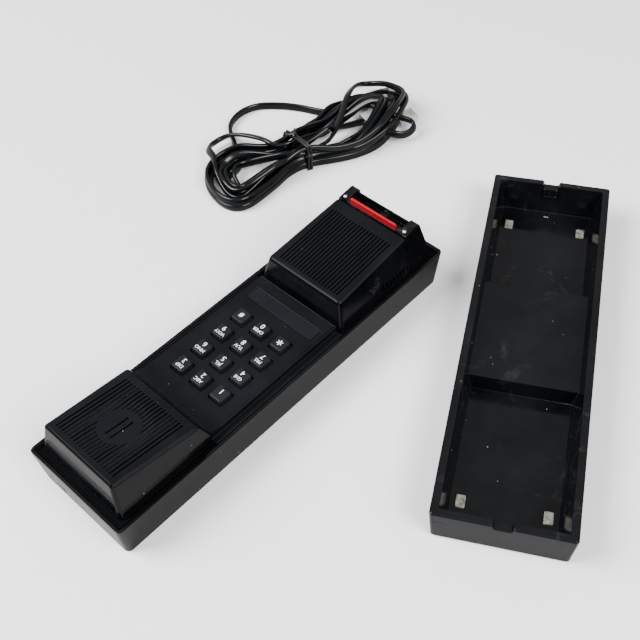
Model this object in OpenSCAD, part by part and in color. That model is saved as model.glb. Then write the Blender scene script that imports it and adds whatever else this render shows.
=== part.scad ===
// Corded slimline telephone: a handset lying on its back, its cradle tray beside it,
// and the line cord behind them, folded into a tied hank.
// The origin is at the middle of the footprint of handset and tray, on the table.
// The tray's long side runs along Y. All sizes are in millimetres.

/* [Handset body] */
// Width of the handset
body_w = 66.6; // [65:0.1:80]
// Length of the ear piece, from the handset's end to the keypad panel
ear_l = 61.3; // [59:0.1:74]
// Length of the keypad panel
panel_l = 88; // [84:1:110]
// Length of the mouth piece
mouth_l = 57.8; // [52:0.1:72]
// Length of the end cap, from the mouth piece to the handset's end
cap_l = 21.3; // [20.8:0.1:25]
// Height of the back shell's rim above the table
shell_h = 23; // [21:0.5:30]
// Radius of the shell's upright corners
corner_r = 3; // [2.6:0.1:6]
// How much narrower each side of the shell is at the bottom
base_inset = 2; // [0.5:0.1:2.2]
// Thickness of the shell's rim
rim_t = 2; // [1.6:0.1:2.4]
// Width of the ledge inside the rim that carries the covers
ledge_t = 1; // [0.8:0.1:1.6]
// Thickness of the shell's floor
floor_t = 2; // [1.5:0.1:3]
// Gap between the rim and the covers, and between two covers
seam_gap = 0.3; // [0.2:0.05:0.4]

/* [Covers] */
// Thickness of the flange round the covers
flange_t = 1.8; // [1.5:0.1:2.4]
// How far the flange lies below the rim
flange_drop = 0.6; // [0.4:0.1:1]
// Width of the raised bead round the flange
bead_w = 0.9; // [0.6:0.1:1.2]
// Wall of the covers
cover_wall = 1.8; // [1.5:0.1:2.4]
// Wall of the ribbed tops, which the grooves are cut in
top_wall = 3; // [2.8:0.1:3.6]
// Height of the ear piece above the rim at its outer end
ear_outer_h = 20.6; // [18:0.1:24]
// Height of the ear piece above the rim beside the keypad
ear_inner_h = 13.9; // [12:0.1:16]
// Height of the mouth piece above the rim beside the keypad
mouth_inner_h = 15; // [13:0.1:17]
// Height of the mouth piece above the rim at the end cap
mouth_outer_h = 20.5; // [19:0.1:23]
// Width of one groove in the ribbed tops
groove_w = 0.95; // [0.7:0.05:1.2]
// Depth of one groove
groove_d = 0.8; // [0.5:0.1:1.2]
// Distance from one groove to the next
groove_pitch = 2.1; // [1.9:0.1:3]
// Radius of the shallow dish in the ear piece
dish_r = 16; // [12:0.5:17]
// Depth of the dish in the middle
dish_d = 1.4; // [0.8:0.1:1.6]

/* [Keypad] */
// Height of the keypad panel's face above the rim
panel_rise = 2.7; // [2:0.1:4]
// Thickness of the keypad panel
panel_t = 1.8; // [1.5:0.1:2.2]
// Side of one square key
key_w = 8.4; // [8:0.1:11]
// Distance between the middles of two keys in a row
key_pitch_x = 13.8; // [13.5:0.1:14.6]
// Distance between two rows of keys
key_pitch_y = 13.7; // [13.5:0.1:14.6]
// How far a key stands above the panel
key_rise = 2.3; // [2:0.1:3]
// Clearance round a key in its hole
key_gap = 0.3; // [0.2:0.05:0.4]
// Travel of a key
key_travel = 1.5; // [1:0.1:1.5]
// Distance of the middle of the keypad from the mouth piece
keypad_back = 48.3; // [46:0.1:52]
// Width of the blank label strip
label_w = 45.2; // [38:0.1:46]
// Length of the label strip along the handset
label_l = 7.7; // [6:0.1:9]

/* [Hook switch] */
// Length of the hook bar across the handset
hook_w = 32; // [28:1:34]
// Thickness of the hook bar
hook_t = 1.2; // [1:0.1:2]
// How far the hook bar stands above the end cap
hook_rise = 3.6; // [2.6:0.1:4.4]
// Travel of the hook bar
hook_travel = 2.4; // [1.5:0.1:2.4]
// Diameter of the hook bar's post
post_d = 4; // [3.5:0.1:4.2]
// Radial clearance of the post in its guide
post_gap = 0.1; // [0.05:0.01:0.1]

/* [Tray] */
// Width of the tray
tray_w = 65.6; // [62:0.1:80]
// Height of the tray's rim above the table
tray_h = 21.8; // [19:0.1:26]
// Height of the feet below the tray
foot_h = 1; // [0.8:0.1:1.6]
// Thickness of the tray's floor
tray_floor_t = 1.5; // [1.2:0.1:2]
// Thickness of the long walls at the rim
tray_side_t = 3.9; // [3.2:0.1:4.4]
// Thickness of the end walls at the rim
tray_end_t = 3.9; // [2.8:0.1:4.4]
// How far the long walls lean in on their way down to the floor
side_lean = 3.7; // [2.5:0.1:4]
// How far the end walls lean in
end_lean = 2.4; // [1.5:0.1:3]
// Height of the platform's top above the table
platform_h = 13; // [11:0.1:13]
// Length of the platform
platform_l = 64.5; // [56:0.1:70]
// Width of the cord notches in the end rims
notch_w = 9.6; // [8:0.1:12]
// Depth of the cord notches
notch_d = 2.8; // [2:0.1:3.5]
// Diameter of the wall-mount hole
wall_hole_d = 3; // [2.6:0.1:4]

/* [Fasteners and cord] */
// Shank diameter of the screws
screw_d = 2.9; // [2.5:0.1:3]
// Radial clearance of a screw in its hole
screw_gap = 0.05; // [0.02:0.01:0.1]
// Width of the flat line cord
cord_w = 4.8; // [4.5:0.1:5.2]
// Thickness of the flat line cord
cord_t = 2.4; // [2.2:0.1:2.6]
// Width of a modular plug
plug_w = 9.65; // [9.65:0.01:9.65]
// Thickness of a modular plug
plug_t = 6.6; // [6.6:0.1:6.6]
// Length of a modular plug
plug_l = 12.3; // [12:0.1:14]

/* [Layout] */
// Middle of the handset to the left of the tray's middle
handset_dx = -136.7; // [-190:0.1:-133]
// Middle of the handset behind the tray's middle
handset_dy = -39.4; // [-60:0.1:0]
// How far the handset is turned against the tray
handset_turn = -29; // [-35:0.1:-20]

/* [Hidden] */
$fn = 48;
hull_fn = 32;
eps = 0.01;

// Lengths along the handset, from its middle
body_l = ear_l + panel_l + mouth_l + cap_l;
y_ear_end = -body_l / 2;
y_ear_seam = y_ear_end + ear_l;
y_mouth_seam = y_ear_seam + panel_l;
y_cap_seam = y_mouth_seam + mouth_l;
y_cap_end = body_l / 2;
half_gap = seam_gap / 2;

// Heights of the covers
flange_z = shell_h - flange_drop;
ledge_z = flange_z - flange_t;
bead_z = shell_h + 0.2;
panel_z = shell_h + panel_rise;
flange_inset = rim_t + seam_gap;
flange_hw = body_w / 2 - flange_inset;

// Ear piece: outline from the side
ear_foot = 5.2;
ear_lean = 3.4;
ear_top_y0 = y_ear_end + ear_foot + ear_lean;
ear_top_y1 = y_ear_seam - 4.3;
ear_top_z0 = shell_h + ear_outer_h;
ear_top_z1 = shell_h + ear_inner_h;
ear_seam_z = panel_z + 3.2;
ear_hw = body_w / 2 - 4.8;
ear_draft = 0.2;
ear_slope = atan((ear_top_z0 - ear_top_z1) / (ear_top_y1 - ear_top_y0));
ear_mid_y = (ear_top_y0 + ear_top_y1) / 2;
ear_mid_z = (ear_top_z0 + ear_top_z1) / 2;
ear_groove_l = ear_top_y1 - ear_top_y0 - 7.4;

// Mouth piece: outline from the side
mouth_foot = 0.8;
mouth_lean = 3.6;
mouth_top_y0 = y_mouth_seam + mouth_foot + mouth_lean;
mouth_top_z0 = shell_h + mouth_inner_h;
mouth_top_z1 = shell_h + mouth_outer_h;
mouth_hw = body_w / 2 - 4.55;
mouth_draft = 0.25;
mouth_slope = atan((mouth_top_z1 - mouth_top_z0) / (y_cap_seam - mouth_top_y0));
mouth_groove_y0 = mouth_top_y0 + 3.3;
mouth_groove_l = y_cap_seam - 7.9 - mouth_groove_y0;
vent_count = 8;
vent_pitch = 2.7;
vent_w = 1.1;
vent_h = 3.6;

// End cap
cap_foot = 5.3;
ear_tip_r = 2.6;
ear_tip_y = y_cap_end - 11.9;
ear_tip_z = mouth_top_z1 + 1.7 - ear_tip_r;
channel_hw = hook_w / 2 + 2.3;
channel_wall_y = y_cap_end - 9.9;
slot_l = 1.9;
channel_wall_z = mouth_top_z1 - 2;
channel_z = mouth_top_z1 - 5.9;
channel_y0 = y_cap_seam + 2.9;
channel_y1 = channel_wall_y - slot_l - 0.4;
slot_x0 = 2.3;
slot_x1 = 15.6;

// Hook bar, its post and spring
bar_y0 = y_cap_seam + half_gap + 0.4;
hook_top_z = mouth_top_z1 + hook_rise;
carriage_t = 1.4;
carriage_l = 3;
carriage_top_z = mouth_top_z1 - 3.9;
carriage_z = carriage_top_z - carriage_t;
post_y = bar_y0 + 2.6;
shelf_t = 1.6;
shelf_z = carriage_z - 7.8;
post_bottom_z = shelf_z - 2;
spring_wire = 0.5;
spring_r = 2.35;
spring_turns = 5;
stud_d = 2.4;
stud_y = y_cap_seam + 2.4;
stud_x = hook_w / 2 + 4.8;

// Keypad stack, from the panel down
plateau_hw = body_w / 2 - 6.3;
border_w = 1;
border_h = 0.35;
panel_under = panel_z - panel_t;
keypad_y = y_mouth_seam - keypad_back;
key_top_z = panel_z + key_rise;
lip_t = 0.9;
lip_w = 0.6;
lip_top = panel_under - 0.3;
lip_bottom = lip_top - lip_t;
dome_top = lip_bottom - key_travel - 0.3;
dome_h = 0.5;
mat_t = 0.9;
mat_top = dome_top - dome_h;
board_t = 1.6;
board_top = mat_top - mat_t;
board_z = board_top - board_t;
mat_hw = key_pitch_x + key_w / 2 + 1.3;
mat_hl = 1.5 * key_pitch_y + key_w / 2 + 2.5;
panel_post_d = 3.6;
panel_post_x = mat_hw + 0.3 + panel_post_d / 2;
label_d = 0.5;
label_gap = 0.1;
label_y = y_mouth_seam - 11.6;
ramp_l = 10.8;
ramp_h = ear_seam_z - panel_z;
ramp_r = (ramp_l * ramp_l + ramp_h * ramp_h) / (2 * ramp_h);
KEY_ROWS = [["1", "2", "3"], ["4", "5", "6"], ["7", "8", "9"], ["star", "0", "hash"]];

// Electronics in the mouth end
jack_w = 13.6;
jack_h = 12.4;
jack_l = 15.5;
jack_wall = 1.2;
jack_y1 = y_cap_end - rim_t - ledge_t;
jack_y0 = jack_y1 - jack_l;
jack_hole_w = plug_w + 0.3;
jack_hole_h = plug_t + 0.4;
jack_hole_l = 13;
jack_hole_z = floor_t + 3.4;
latch_w = 4;
latch_h = 1.8;
main_z = floor_t + jack_h;
main_t = 1.6;
main_top = main_z + main_t;
main_hw = body_w / 2 - 8.5;
main_y0 = y_mouth_seam + 5;
main_y1 = y_cap_end - 5;
mic_d = 9.7;
mic_h = 6.7;
boot_d = 12.4;
boot_floor = 1.6;
mic_y = y_cap_seam - 15;
ringer_d = 24;
ringer_h = 6;
ringer_y = y_mouth_seam + 24;
switch_w = 20;
switch_l = 4.8;
plunger_d = 3;
plunger_top = post_bottom_z - hook_travel - 0.3;
switch_h = plunger_top - main_top - 1;

// Receiver, in the ear piece's tilted frame: 0 is the top's face
dish_y = y_ear_seam - 29;
dish_shift = (dish_y - ear_mid_y) / cos(ear_slope);
gasket_d = 26;
gasket_hole_d = 19;
gasket_t = 1.5;
capsule_d = 27;
capsule_h = 9;
collar_gap = 0.1;
collar_t = 1.5;
collar_h = 7;

// Screws of the handset: two at the ear end, two at the mouth end
boss_d = 6.6;
boss_top = floor_t + 9;
head_d = 5.4;
head_h = 2;
head_gap = 0.3;
boss_x = body_w / 2 - 14;
boss_ys = [y_ear_end + 14, y_mouth_seam + 11];
screw_l = 16;
pilot_l = 10;

// Tray
tray_bottom = foot_h;
tray_floor = tray_bottom + tray_floor_t;
tray_r = 1.6;
tray_inset = 1.3;
rim_step_w = 0.7;
rim_step_h = 0.5;
well_hw = tray_w / 2 - tray_side_t;
well_hl = body_l / 2 - tray_end_t;
lean_z = tray_h - tray_floor;
// With the handset laid face down in the tray the two rims meet, and the platform ends
// just short of the mouth piece
cradled_z = shell_h + tray_h - platform_h;
platform_gap = 1.2;
mouth_face_y = y_mouth_seam + mouth_foot + mouth_lean * (cradled_z - shell_h) / mouth_inner_h;
platform_y1 = mouth_face_y - platform_gap;
platform_y0 = platform_y1 - platform_l;
platform_t = 2;
pocket_hw = well_hw - side_lean - 2.2;
pocket_y0 = platform_y0 + 2;
pocket_y1 = platform_y1 - 2;
pocket_top = platform_h - platform_t;
ballast_t = 5.5;
ballast_gap = 0.5;
ballast_z = pocket_top - ballast_t;
cover_gap = 0.2;
plate_t = 1.5;
rib_t = 2;
tray_post_d = 7;
post_inset = 4.2;
foot_x = tray_w / 2 - 12.4;
foot_y = body_l / 2 - 20.5;
foot_slot_w = 4.8;
foot_slot_l = 7;
foot_gap = 0.1;
foot_pad_w = 9;
foot_pad_l = 11;
foot_proud = 0.3;
wall_hole_y = body_l / 2 - 9.3;
hook_block_w = 8.4;
hook_block_z0 = tray_h - 9;
hook_block_z1 = tray_h - notch_d;
hook_block_in = 1.9;
hook_block_back = 1.2;

// Cord. The points are measured from the tray's middle.
hank_h = 14;
tie_t = 0.8;
tie_w = 3;
waist = [-158, 129];
waist_l = 10;
waist_w = 26;
hank_turn = 49;
near_lobe = [-188, 95];
near_lobe_r = 21;
far_lobe = [-120, 178];
far_lobe_r = 26.8;
lobe_neck_r = 12;
plug_a_at = [-102, 173];
plug_a_turn = 42;
plug_b_at = [-124, 168];
plug_b_turn = 45;
plug_pocket_gap = 0.6;
// Two loops that stray from the hank and lie on the table
LONG_LOOP = [[-149, 172, 4], [-155, 173, 3], [-161, 174, 2.4], [-167, 175, 2.4], [-173, 175, 2.4], [-179, 175, 2.4],
             [-185, 174, 2.4], [-191, 173, 2.4], [-197, 171, 2.4], [-202, 167, 2.4], [-206, 162, 2.4],
             [-208, 156, 2.4], [-209, 150, 2.4], [-208, 144, 2.4], [-205, 139, 2.4], [-202, 134, 2.4],
             [-199, 129, 2.4], [-196, 124, 2.4], [-193, 119, 2.4], [-190, 114, 2.4]];
SHORT_LOOP = [[-172, 126, 10], [-178, 129, 10], [-184, 132, 9.6], [-190, 133, 9.2], [-196, 134, 8.6], [-202, 134, 7.8],
              [-208, 132, 6.4], [-212, 128, 4.6], [-214, 122, 3.2], [-213, 116, 2.4], [-209, 111, 2.4], [-205, 107, 2.4]];

// The middle of the footprint of handset and tray
function reach_x(t) = abs((body_w / 2 - corner_r) * cos(t)) + abs((body_l / 2 - corner_r) * sin(t)) + corner_r;
function reach_y(t) = abs((body_w / 2 - corner_r) * sin(t)) + abs((body_l / 2 - corner_r) * cos(t)) + corner_r;
min_x = min(-tray_w / 2, handset_dx - reach_x(handset_turn));
max_x = max(tray_w / 2, handset_dx + reach_x(handset_turn));
min_y = min(-body_l / 2, handset_dy - reach_y(handset_turn));
max_y = max(body_l / 2, handset_dy + reach_y(handset_turn));
tray_x = -(min_x + max_x) / 2;
tray_y = -(min_y + max_y) / 2;

// ---- Places and shared shapes ----

module at_tray() {
    translate([tray_x, tray_y, 0]) children();
}

module at_handset() {
    translate([tray_x + handset_dx, tray_y + handset_dy, 0]) rotate([0, 0, handset_turn]) children();
}

// A rectangle with round corners
module rounded(w, l, r) {
    square([w - 2 * r, l], center = true);
    square([w, l - 2 * r], center = true);
    for (sx = [-1, 1], sy = [-1, 1]) translate([sx * (w / 2 - r), sy * (l / 2 - r)]) circle(r = r);
}

// A box from one corner to the opposite one
module span(a, b) {
    translate(a) cube(b - a);
}

// A slot with round ends along Y, cut from z = 0 down
module groove(w, l, d) {
    translate([0, 0, -d]) linear_extrude(d + 1) {
        square([w, l - w], center = true);
        for (s = [-1, 1]) translate([0, s * (l - w) / 2]) circle(d = w, $fn = 16);
    }
}

// An outline in the side view, Y across and Z up, made as wide as the body
module side_view(hw) {
    translate([-hw, 0, 0]) rotate([90, 0, 90]) linear_extrude(2 * hw) children();
}

// A block between two heights whose sides lean in towards the top, hw wide at the rim's height
module leaning(hw, z0, z1, draft, y0, y1) {
    low = hw + draft * (shell_h - z0);
    high = hw - draft * (z1 - shell_h);
    translate([0, y1, 0]) rotate([90, 0, 0]) linear_extrude(y1 - y0)
        polygon([[-low, z0], [low, z0], [high, z1], [-high, z1]]);
}

// A block whose four walls lean in towards the bottom
module hopper(hw, hl, lean_w, lean_l, z0, z1) {
    intersection() {
        translate([0, hl, 0]) rotate([90, 0, 0]) linear_extrude(2 * hl)
            polygon([[-hw, z1], [hw, z1], [hw - lean_w, z0], [-hw + lean_w, z0]]);
        side_view(hw) polygon([[-hl, z1], [hl, z1], [hl - lean_l, z0], [-hl + lean_l, z0]]);
    }
}

// The flange of the covers with its bead, from y0 to y1
module flange(y0, y1) {
    r = max(0.3, corner_r - flange_inset);
    intersection() {
        union() {
            translate([0, 0, ledge_z]) linear_extrude(flange_t)
                rounded(2 * flange_hw, body_l - 2 * flange_inset, r);
            translate([0, 0, flange_z]) linear_extrude(bead_z - flange_z) difference() {
                rounded(2 * flange_hw, body_l - 2 * flange_inset, r);
                rounded(2 * (flange_hw - bead_w), body_l - 2 * (flange_inset + bead_w), 0.3);
            }
        }
        span([-body_w, y0, 0], [body_w, y1, bead_z + 1]);
    }
}

// The grooves of a ribbed top: as many as fit, side by side
module groove_row(half_width, l, w = groove_w, d = groove_d) {
    n = floor(half_width / groove_pitch - 0.5) + 1;
    for (i = [-n:n - 1]) translate([(i + 0.5) * groove_pitch, 0, 0]) groove(w, l, d);
}

// The ear piece's tilted frame, with its origin on the top's face
module on_ear_top() {
    translate([0, ear_mid_y, ear_mid_z]) rotate([-ear_slope, 0, 0]) children();
}

module screw(l) {
    cylinder(d = head_d, h = head_h);
    cylinder(d = screw_d, h = l);
}

// ---- Tray ----

module tray_outside() {
    hull() {
        translate([0, 0, tray_bottom]) linear_extrude(eps)
            rounded(tray_w - 2 * tray_inset, body_l - 2 * tray_inset, tray_r, $fn = hull_fn);
        translate([0, 0, tray_h - rim_step_h - eps]) linear_extrude(eps)
            rounded(tray_w, body_l, tray_r, $fn = hull_fn);
    }
    translate([0, 0, tray_h - rim_step_h - eps]) linear_extrude(rim_step_h + eps)
        rounded(tray_w - 2 * rim_step_w, body_l - 2 * rim_step_w, tray_r - rim_step_w);
}

// The corners of the pocket under the platform, where the posts stand
module at_posts() {
    for (sx = [-1, 1], y = [pocket_y0 + post_inset, pocket_y1 - post_inset])
        translate([sx * (pocket_hw - post_inset), y, 0]) children();
}

module at_feet() {
    for (sx = [-1, 1], sy = [-1, 1]) translate([sx * foot_x, sy * foot_y, 0]) children();
}

module wall_hook_block() {
    y1 = body_l / 2 - tray_end_t;
    span([-hook_block_w / 2, y1 - hook_block_in, hook_block_z0],
         [hook_block_w / 2, y1 + hook_block_back, hook_block_z1]);
}

module base_tray() {
    color("#1b1c1f") at_tray() difference() {
        tray_outside();
        difference() {
            hopper(well_hw + side_lean / lean_z, well_hl + end_lean / lean_z,
                   side_lean * (1 + 1 / lean_z), end_lean * (1 + 1 / lean_z), tray_floor, tray_h + 1);
            span([-tray_w, platform_y0, 0], [tray_w, platform_y1, platform_h]);
        }
        // Pocket under the platform, with the posts of the cover's screws left standing
        difference() {
            span([-pocket_hw, pocket_y0, 0], [pocket_hw, pocket_y1, pocket_top]);
            at_posts() translate([0, 0, tray_bottom + plate_t]) cylinder(d = tray_post_d, h = platform_h);
        }
        at_posts() cylinder(d = screw_d + 2 * screw_gap, h = pocket_top - 1);
        // Cord notches
        for (s = [-1, 1]) translate([0, s * body_l / 2, tray_h]) rotate([90, 0, 0])
            translate([0, 0, -10]) linear_extrude(20)
                polygon([[-notch_w / 2, 1], [notch_w / 2, 1], [notch_w / 2, 0], [notch_w / 2 - 1, -notch_d],
                         [1 - notch_w / 2, -notch_d], [-notch_w / 2, 0]]);
        at_feet() translate([0, 0, tray_floor_t]) cube([foot_slot_w, foot_slot_l, 3 * tray_floor_t], center = true);
        translate([0, wall_hole_y, 0]) cylinder(d = wall_hole_d, h = 2 * tray_floor);
        wall_hook_block();
    }
}

module wall_hook() {
    color("#202226") at_tray() difference() {
        wall_hook_block();
        // The hook's lip is undercut from behind the handset's side
        y1 = body_l / 2 - tray_end_t - hook_block_in;
        span([-hook_block_w / 2 + 1.2, y1 - 1, hook_block_z0 + 1.4], [hook_block_w / 2 - 1.2, y1 + 1, hook_block_z1 + 1]);
    }
}

module foot(sx, sy) {
    color("#b9b7a6") at_tray() translate([sx * foot_x, sy * foot_y, 0]) {
        linear_extrude(foot_h) rounded(foot_pad_w, foot_pad_l, 2);
        w = foot_slot_w - 2 * foot_gap;
        l = foot_slot_l - 2 * foot_gap;
        linear_extrude(tray_floor + foot_proud) rounded(w, l, 0.8);
    }
}

module foot_front_left() { foot(-1, -1); }
module foot_front_right() { foot(1, -1); }
module foot_rear_left() { foot(-1, 1); }
module foot_rear_right() { foot(1, 1); }

module ballast_weight() {
    hw = pocket_hw - ballast_gap;
    y0 = pocket_y0 + ballast_gap;
    y1 = pocket_y1 - ballast_gap;
    color("#8a8d90") at_tray() difference() {
        span([-hw, y0, ballast_z], [hw, y1, pocket_top]);
        at_posts() cylinder(d = tray_post_d + 2 * ballast_gap, h = platform_h);
        for (sx = [-1, 1], y = [y0, y1])
            translate([sx * hw, y, 0]) cube([2 * post_inset + 1, 2 * post_inset + 1, 3 * platform_h], center = true);
    }
}

module ballast_cover() {
    hw = pocket_hw - cover_gap;
    y0 = pocket_y0 + cover_gap;
    y1 = pocket_y1 - cover_gap;
    color("#17181a") at_tray() difference() {
        union() {
            span([-hw, y0, tray_bottom], [hw, y1, tray_bottom + plate_t]);
            for (sy = [-1, 1]) translate([0, (y0 + y1) / 2 + sy * platform_l / 5, 0])
                span([-hw + 4, -rib_t / 2, tray_bottom], [hw - 4, rib_t / 2, ballast_z]);
        }
        at_posts() cylinder(d = screw_d + 2 * screw_gap, h = platform_h);
    }
}

module cover_screws() {
    color("#c3c6c9") at_tray() at_posts() {
        head_z = tray_bottom - 0.8;
        translate([0, 0, head_z]) cylinder(d = head_d, h = 0.8);
        translate([0, 0, head_z]) cylinder(d = screw_d, h = 7);
    }
}

// ---- Handset casing ----

module shell_outside() {
    hull() {
        linear_extrude(eps) rounded(body_w - 2 * base_inset, body_l - 2 * base_inset, corner_r, $fn = hull_fn);
        translate([0, 0, shell_h - eps]) linear_extrude(eps) rounded(body_w, body_l, corner_r, $fn = hull_fn);
    }
}

module jack_hole(y0, y1, grow = 0) {
    span([-jack_hole_w / 2 - grow, y0, jack_hole_z - grow],
         [jack_hole_w / 2 + grow, y1, jack_hole_z + jack_hole_h + grow]);
    span([-latch_w / 2 - grow, y0, jack_hole_z - latch_h - grow], [latch_w / 2 + grow, y1, jack_hole_z]);
}

module at_bosses() {
    for (sx = [-1, 1], y = boss_ys) translate([sx * boss_x, y, 0]) children();
}

module back_shell() {
    inner = rim_t + ledge_t;
    color("#18191c") at_handset() difference() {
        union() {
            difference() {
                shell_outside();
                translate([0, 0, floor_t]) linear_extrude(shell_h)
                    rounded(body_w - 2 * inner, body_l - 2 * inner, 1.5);
                translate([0, 0, ledge_z]) linear_extrude(shell_h)
                    rounded(body_w - 2 * rim_t, body_l - 2 * rim_t, corner_r - rim_t);
            }
            at_bosses() translate([0, 0, floor_t / 2]) cylinder(d = boss_d, h = boss_top - floor_t / 2);
            // Pillars under the main board
            for (sx = [-1, 1]) translate([sx * 10, main_y0 + 4, floor_t / 2]) cylinder(d = 5, h = main_z - floor_t / 2);
        }
        at_bosses() {
            translate([0, 0, -1]) cylinder(d = screw_d + 2 * screw_gap, h = boss_top + 2);
            translate([0, 0, -1]) cylinder(d = head_d + 2 * head_gap, h = head_h + 1 + head_gap);
        }
        jack_hole(jack_y1 - eps, y_cap_end + 1);
    }
}

// Posts that hang from a cover down to the shell's bosses
module cover_posts(y, top) {
    for (sx = [-1, 1]) translate([sx * boss_x, y, boss_top]) cylinder(d = boss_d, h = top - boss_top);
}

module pilot_holes(y) {
    for (sx = [-1, 1]) translate([sx * boss_x, y, boss_top - 1])
        cylinder(d = screw_d + 2 * screw_gap, h = pilot_l + 1);
}

module ear_outline(inset, top) {
    s = sin(ear_slope);
    polygon([[ear_top_y0 - ear_lean + inset, ledge_z - (inset > 0 ? 1 : 0)],
             [ear_top_y0 - ear_lean + inset, flange_z],
             [ear_top_y0 + inset, ear_top_z0 - top - inset * s],
             [ear_top_y1 - inset, ear_top_z1 - top + inset * s],
             [y_ear_seam - half_gap - inset, min(ear_seam_z, ear_top_z1 - top + inset * s)],
             [y_ear_seam - half_gap - inset, ledge_z - (inset > 0 ? 1 : 0)]]);
}

module ear_cover() {
    top = ear_top_z0 + 1;
    color("#101114") at_handset() difference() {
        union() {
            difference() {
                union() {
                    flange(y_ear_end, y_ear_seam - half_gap);
                    intersection() {
                        side_view(body_w / 2) ear_outline(0, 0);
                        leaning(ear_hw, shell_h - 2 * flange_t - 1, top,
                                ear_draft, y_ear_end, y_ear_seam);
                    }
                }
                intersection() {
                    side_view(body_w / 2) ear_outline(cover_wall, top_wall);
                    leaning(ear_hw - cover_wall, shell_h - 2 * flange_t - 1, top,
                            ear_draft, y_ear_end, y_ear_seam);
                }
            }
            // Collar that holds the receiver
            on_ear_top() translate([0, dish_shift, -top_wall - collar_h]) difference() {
                cylinder(r = capsule_d / 2 + collar_gap + collar_t, h = collar_h + 1);
                translate([0, 0, -1]) cylinder(r = capsule_d / 2 + collar_gap, h = collar_h + 1);
            }
            cover_posts(boss_ys[0], ear_top_z0 - top_wall + 0.4);
        }
        pilot_holes(boss_ys[0]);
        on_ear_top() {
            groove_row(ear_hw - ear_draft * ear_outer_h - 3.8, ear_groove_l);
            dish_big_r = (dish_r * dish_r + dish_d * dish_d) / (2 * dish_d);
            translate([0, dish_shift, dish_big_r - dish_d]) sphere(r = dish_big_r, $fn = 180);
            for (s = [-1, 1]) translate([s * 1.8, dish_shift, 0]) groove(1.1, 13.4, 2 * top_wall);
        }
    }
}

module keypad_outline() {
    difference() {
        polygon([[y_ear_seam + half_gap, ledge_z], [y_ear_seam + half_gap, ear_seam_z],
                 [y_ear_seam + ramp_l, ear_seam_z], [y_ear_seam + ramp_l, panel_z],
                 [y_mouth_seam - half_gap, panel_z], [y_mouth_seam - half_gap, ledge_z]]);
        translate([y_ear_seam + ramp_l, panel_z + ramp_r]) circle(r = ramp_r, $fn = 180);
    }
}

module at_key(row, col) {
    translate([(1 - col) * key_pitch_x, keypad_y + (row - 1.5) * key_pitch_y, 0]) children();
}

module keypad_panel() {
    y0 = y_ear_seam + half_gap;
    y1 = y_mouth_seam - half_gap;
    color("#2a2d31") at_handset() difference() {
        union() {
            flange(y0, y1);
            side_view(plateau_hw) keypad_outline();
            // Raised border round the panel's face
            for (sx = [-1, 1]) translate([sx * (plateau_hw - border_w / 2), 0, 0])
                span([-border_w / 2, y_ear_seam + ramp_l - 6, panel_z - 1], [border_w / 2, y1, panel_z + border_h]);
            span([-plateau_hw, y1 - border_w, panel_z - 1], [plateau_hw, y1, panel_z + border_h]);
        }
        difference() {
            span([-plateau_hw + cover_wall, y0 + cover_wall, 0], [plateau_hw - cover_wall, y1 - cover_wall, panel_under]);
            for (sx = [-1, 1], sy = [-1, 1])
                translate([sx * panel_post_x, keypad_y + sy * (mat_hl - 3), board_top])
                    cylinder(d = panel_post_d, h = shell_h);
        }
        for (row = [0:3], col = [0:2]) at_key(row, col)
            cube([key_w + 2 * key_gap, key_w + 2 * key_gap, 4 * shell_h], center = true);
        span([-label_w / 2 - label_gap, label_y - label_l / 2 - label_gap, panel_z - label_d],
             [label_w / 2 + label_gap, label_y + label_l / 2 + label_gap, panel_z + 1]);
    }
}

module label_strip() {
    color("#4a4e54") at_handset()
        span([-label_w / 2, label_y - label_l / 2, panel_z - label_d],
             [label_w / 2, label_y + label_l / 2, panel_z - 0.1]);
}

module mouth_outline(inset, top) {
    t = tan(mouth_slope);
    y1 = y_cap_seam - half_gap - inset;
    polygon([[y_mouth_seam + half_gap + inset, ledge_z - (inset > 0 ? 1 : 0)],
             [y_mouth_seam + mouth_foot + inset, flange_z],
             [mouth_top_y0 + inset, mouth_top_z0 - top + inset * t],
             [y1, mouth_top_z1 - top - (inset + half_gap) * t],
             [y1, ledge_z - (inset > 0 ? 1 : 0)]]);
}

module mouth_cover() {
    top = mouth_top_z1 + 1;
    z0 = shell_h - 2 * flange_t - 1;
    color("#111215") at_handset() difference() {
        union() {
            difference() {
                union() {
                    flange(y_mouth_seam + half_gap, y_cap_seam - half_gap);
                    intersection() {
                        side_view(body_w / 2) mouth_outline(0, 0);
                        leaning(mouth_hw, z0, top, mouth_draft, y_mouth_seam, y_cap_seam);
                    }
                }
                intersection() {
                    side_view(body_w / 2) mouth_outline(cover_wall, top_wall);
                    leaning(mouth_hw - cover_wall, z0, top, mouth_draft, y_mouth_seam, y_cap_seam);
                }
            }
            cover_posts(boss_ys[1], mouth_top_z0 - top_wall + 0.5);
        }
        pilot_holes(boss_ys[1]);
        translate([0, mouth_groove_y0 + mouth_groove_l / 2,
                   mouth_top_z0 + (mouth_groove_y0 + mouth_groove_l / 2 - mouth_top_y0) * tan(mouth_slope)])
            rotate([mouth_slope, 0, 0])
                groove_row(mouth_hw - mouth_draft * mouth_outer_h - 2.8, mouth_groove_l / cos(mouth_slope));
        for (i = [0:vent_count - 1])
            span([-body_w, y_cap_seam - 2.6 - i * vent_pitch - vent_w, flange_z + 1],
                 [body_w, y_cap_seam - 2.6 - i * vent_pitch, flange_z + 1 + vent_h]);
    }
}

module cap_outline(inset) {
    z0 = ledge_z - (inset > 0 ? 1 : 0);
    polygon([[y_cap_seam + half_gap, z0], [y_cap_seam + half_gap, mouth_top_z1 - inset],
             [ear_tip_y, ear_tip_z + ear_tip_r - inset], [ear_tip_y + ear_tip_r - inset, ear_tip_z],
             [y_cap_end - cap_foot - inset, flange_z], [y_cap_end - cap_foot - inset, z0]]);
    translate([ear_tip_y, ear_tip_z]) circle(r = ear_tip_r - inset);
}

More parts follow.
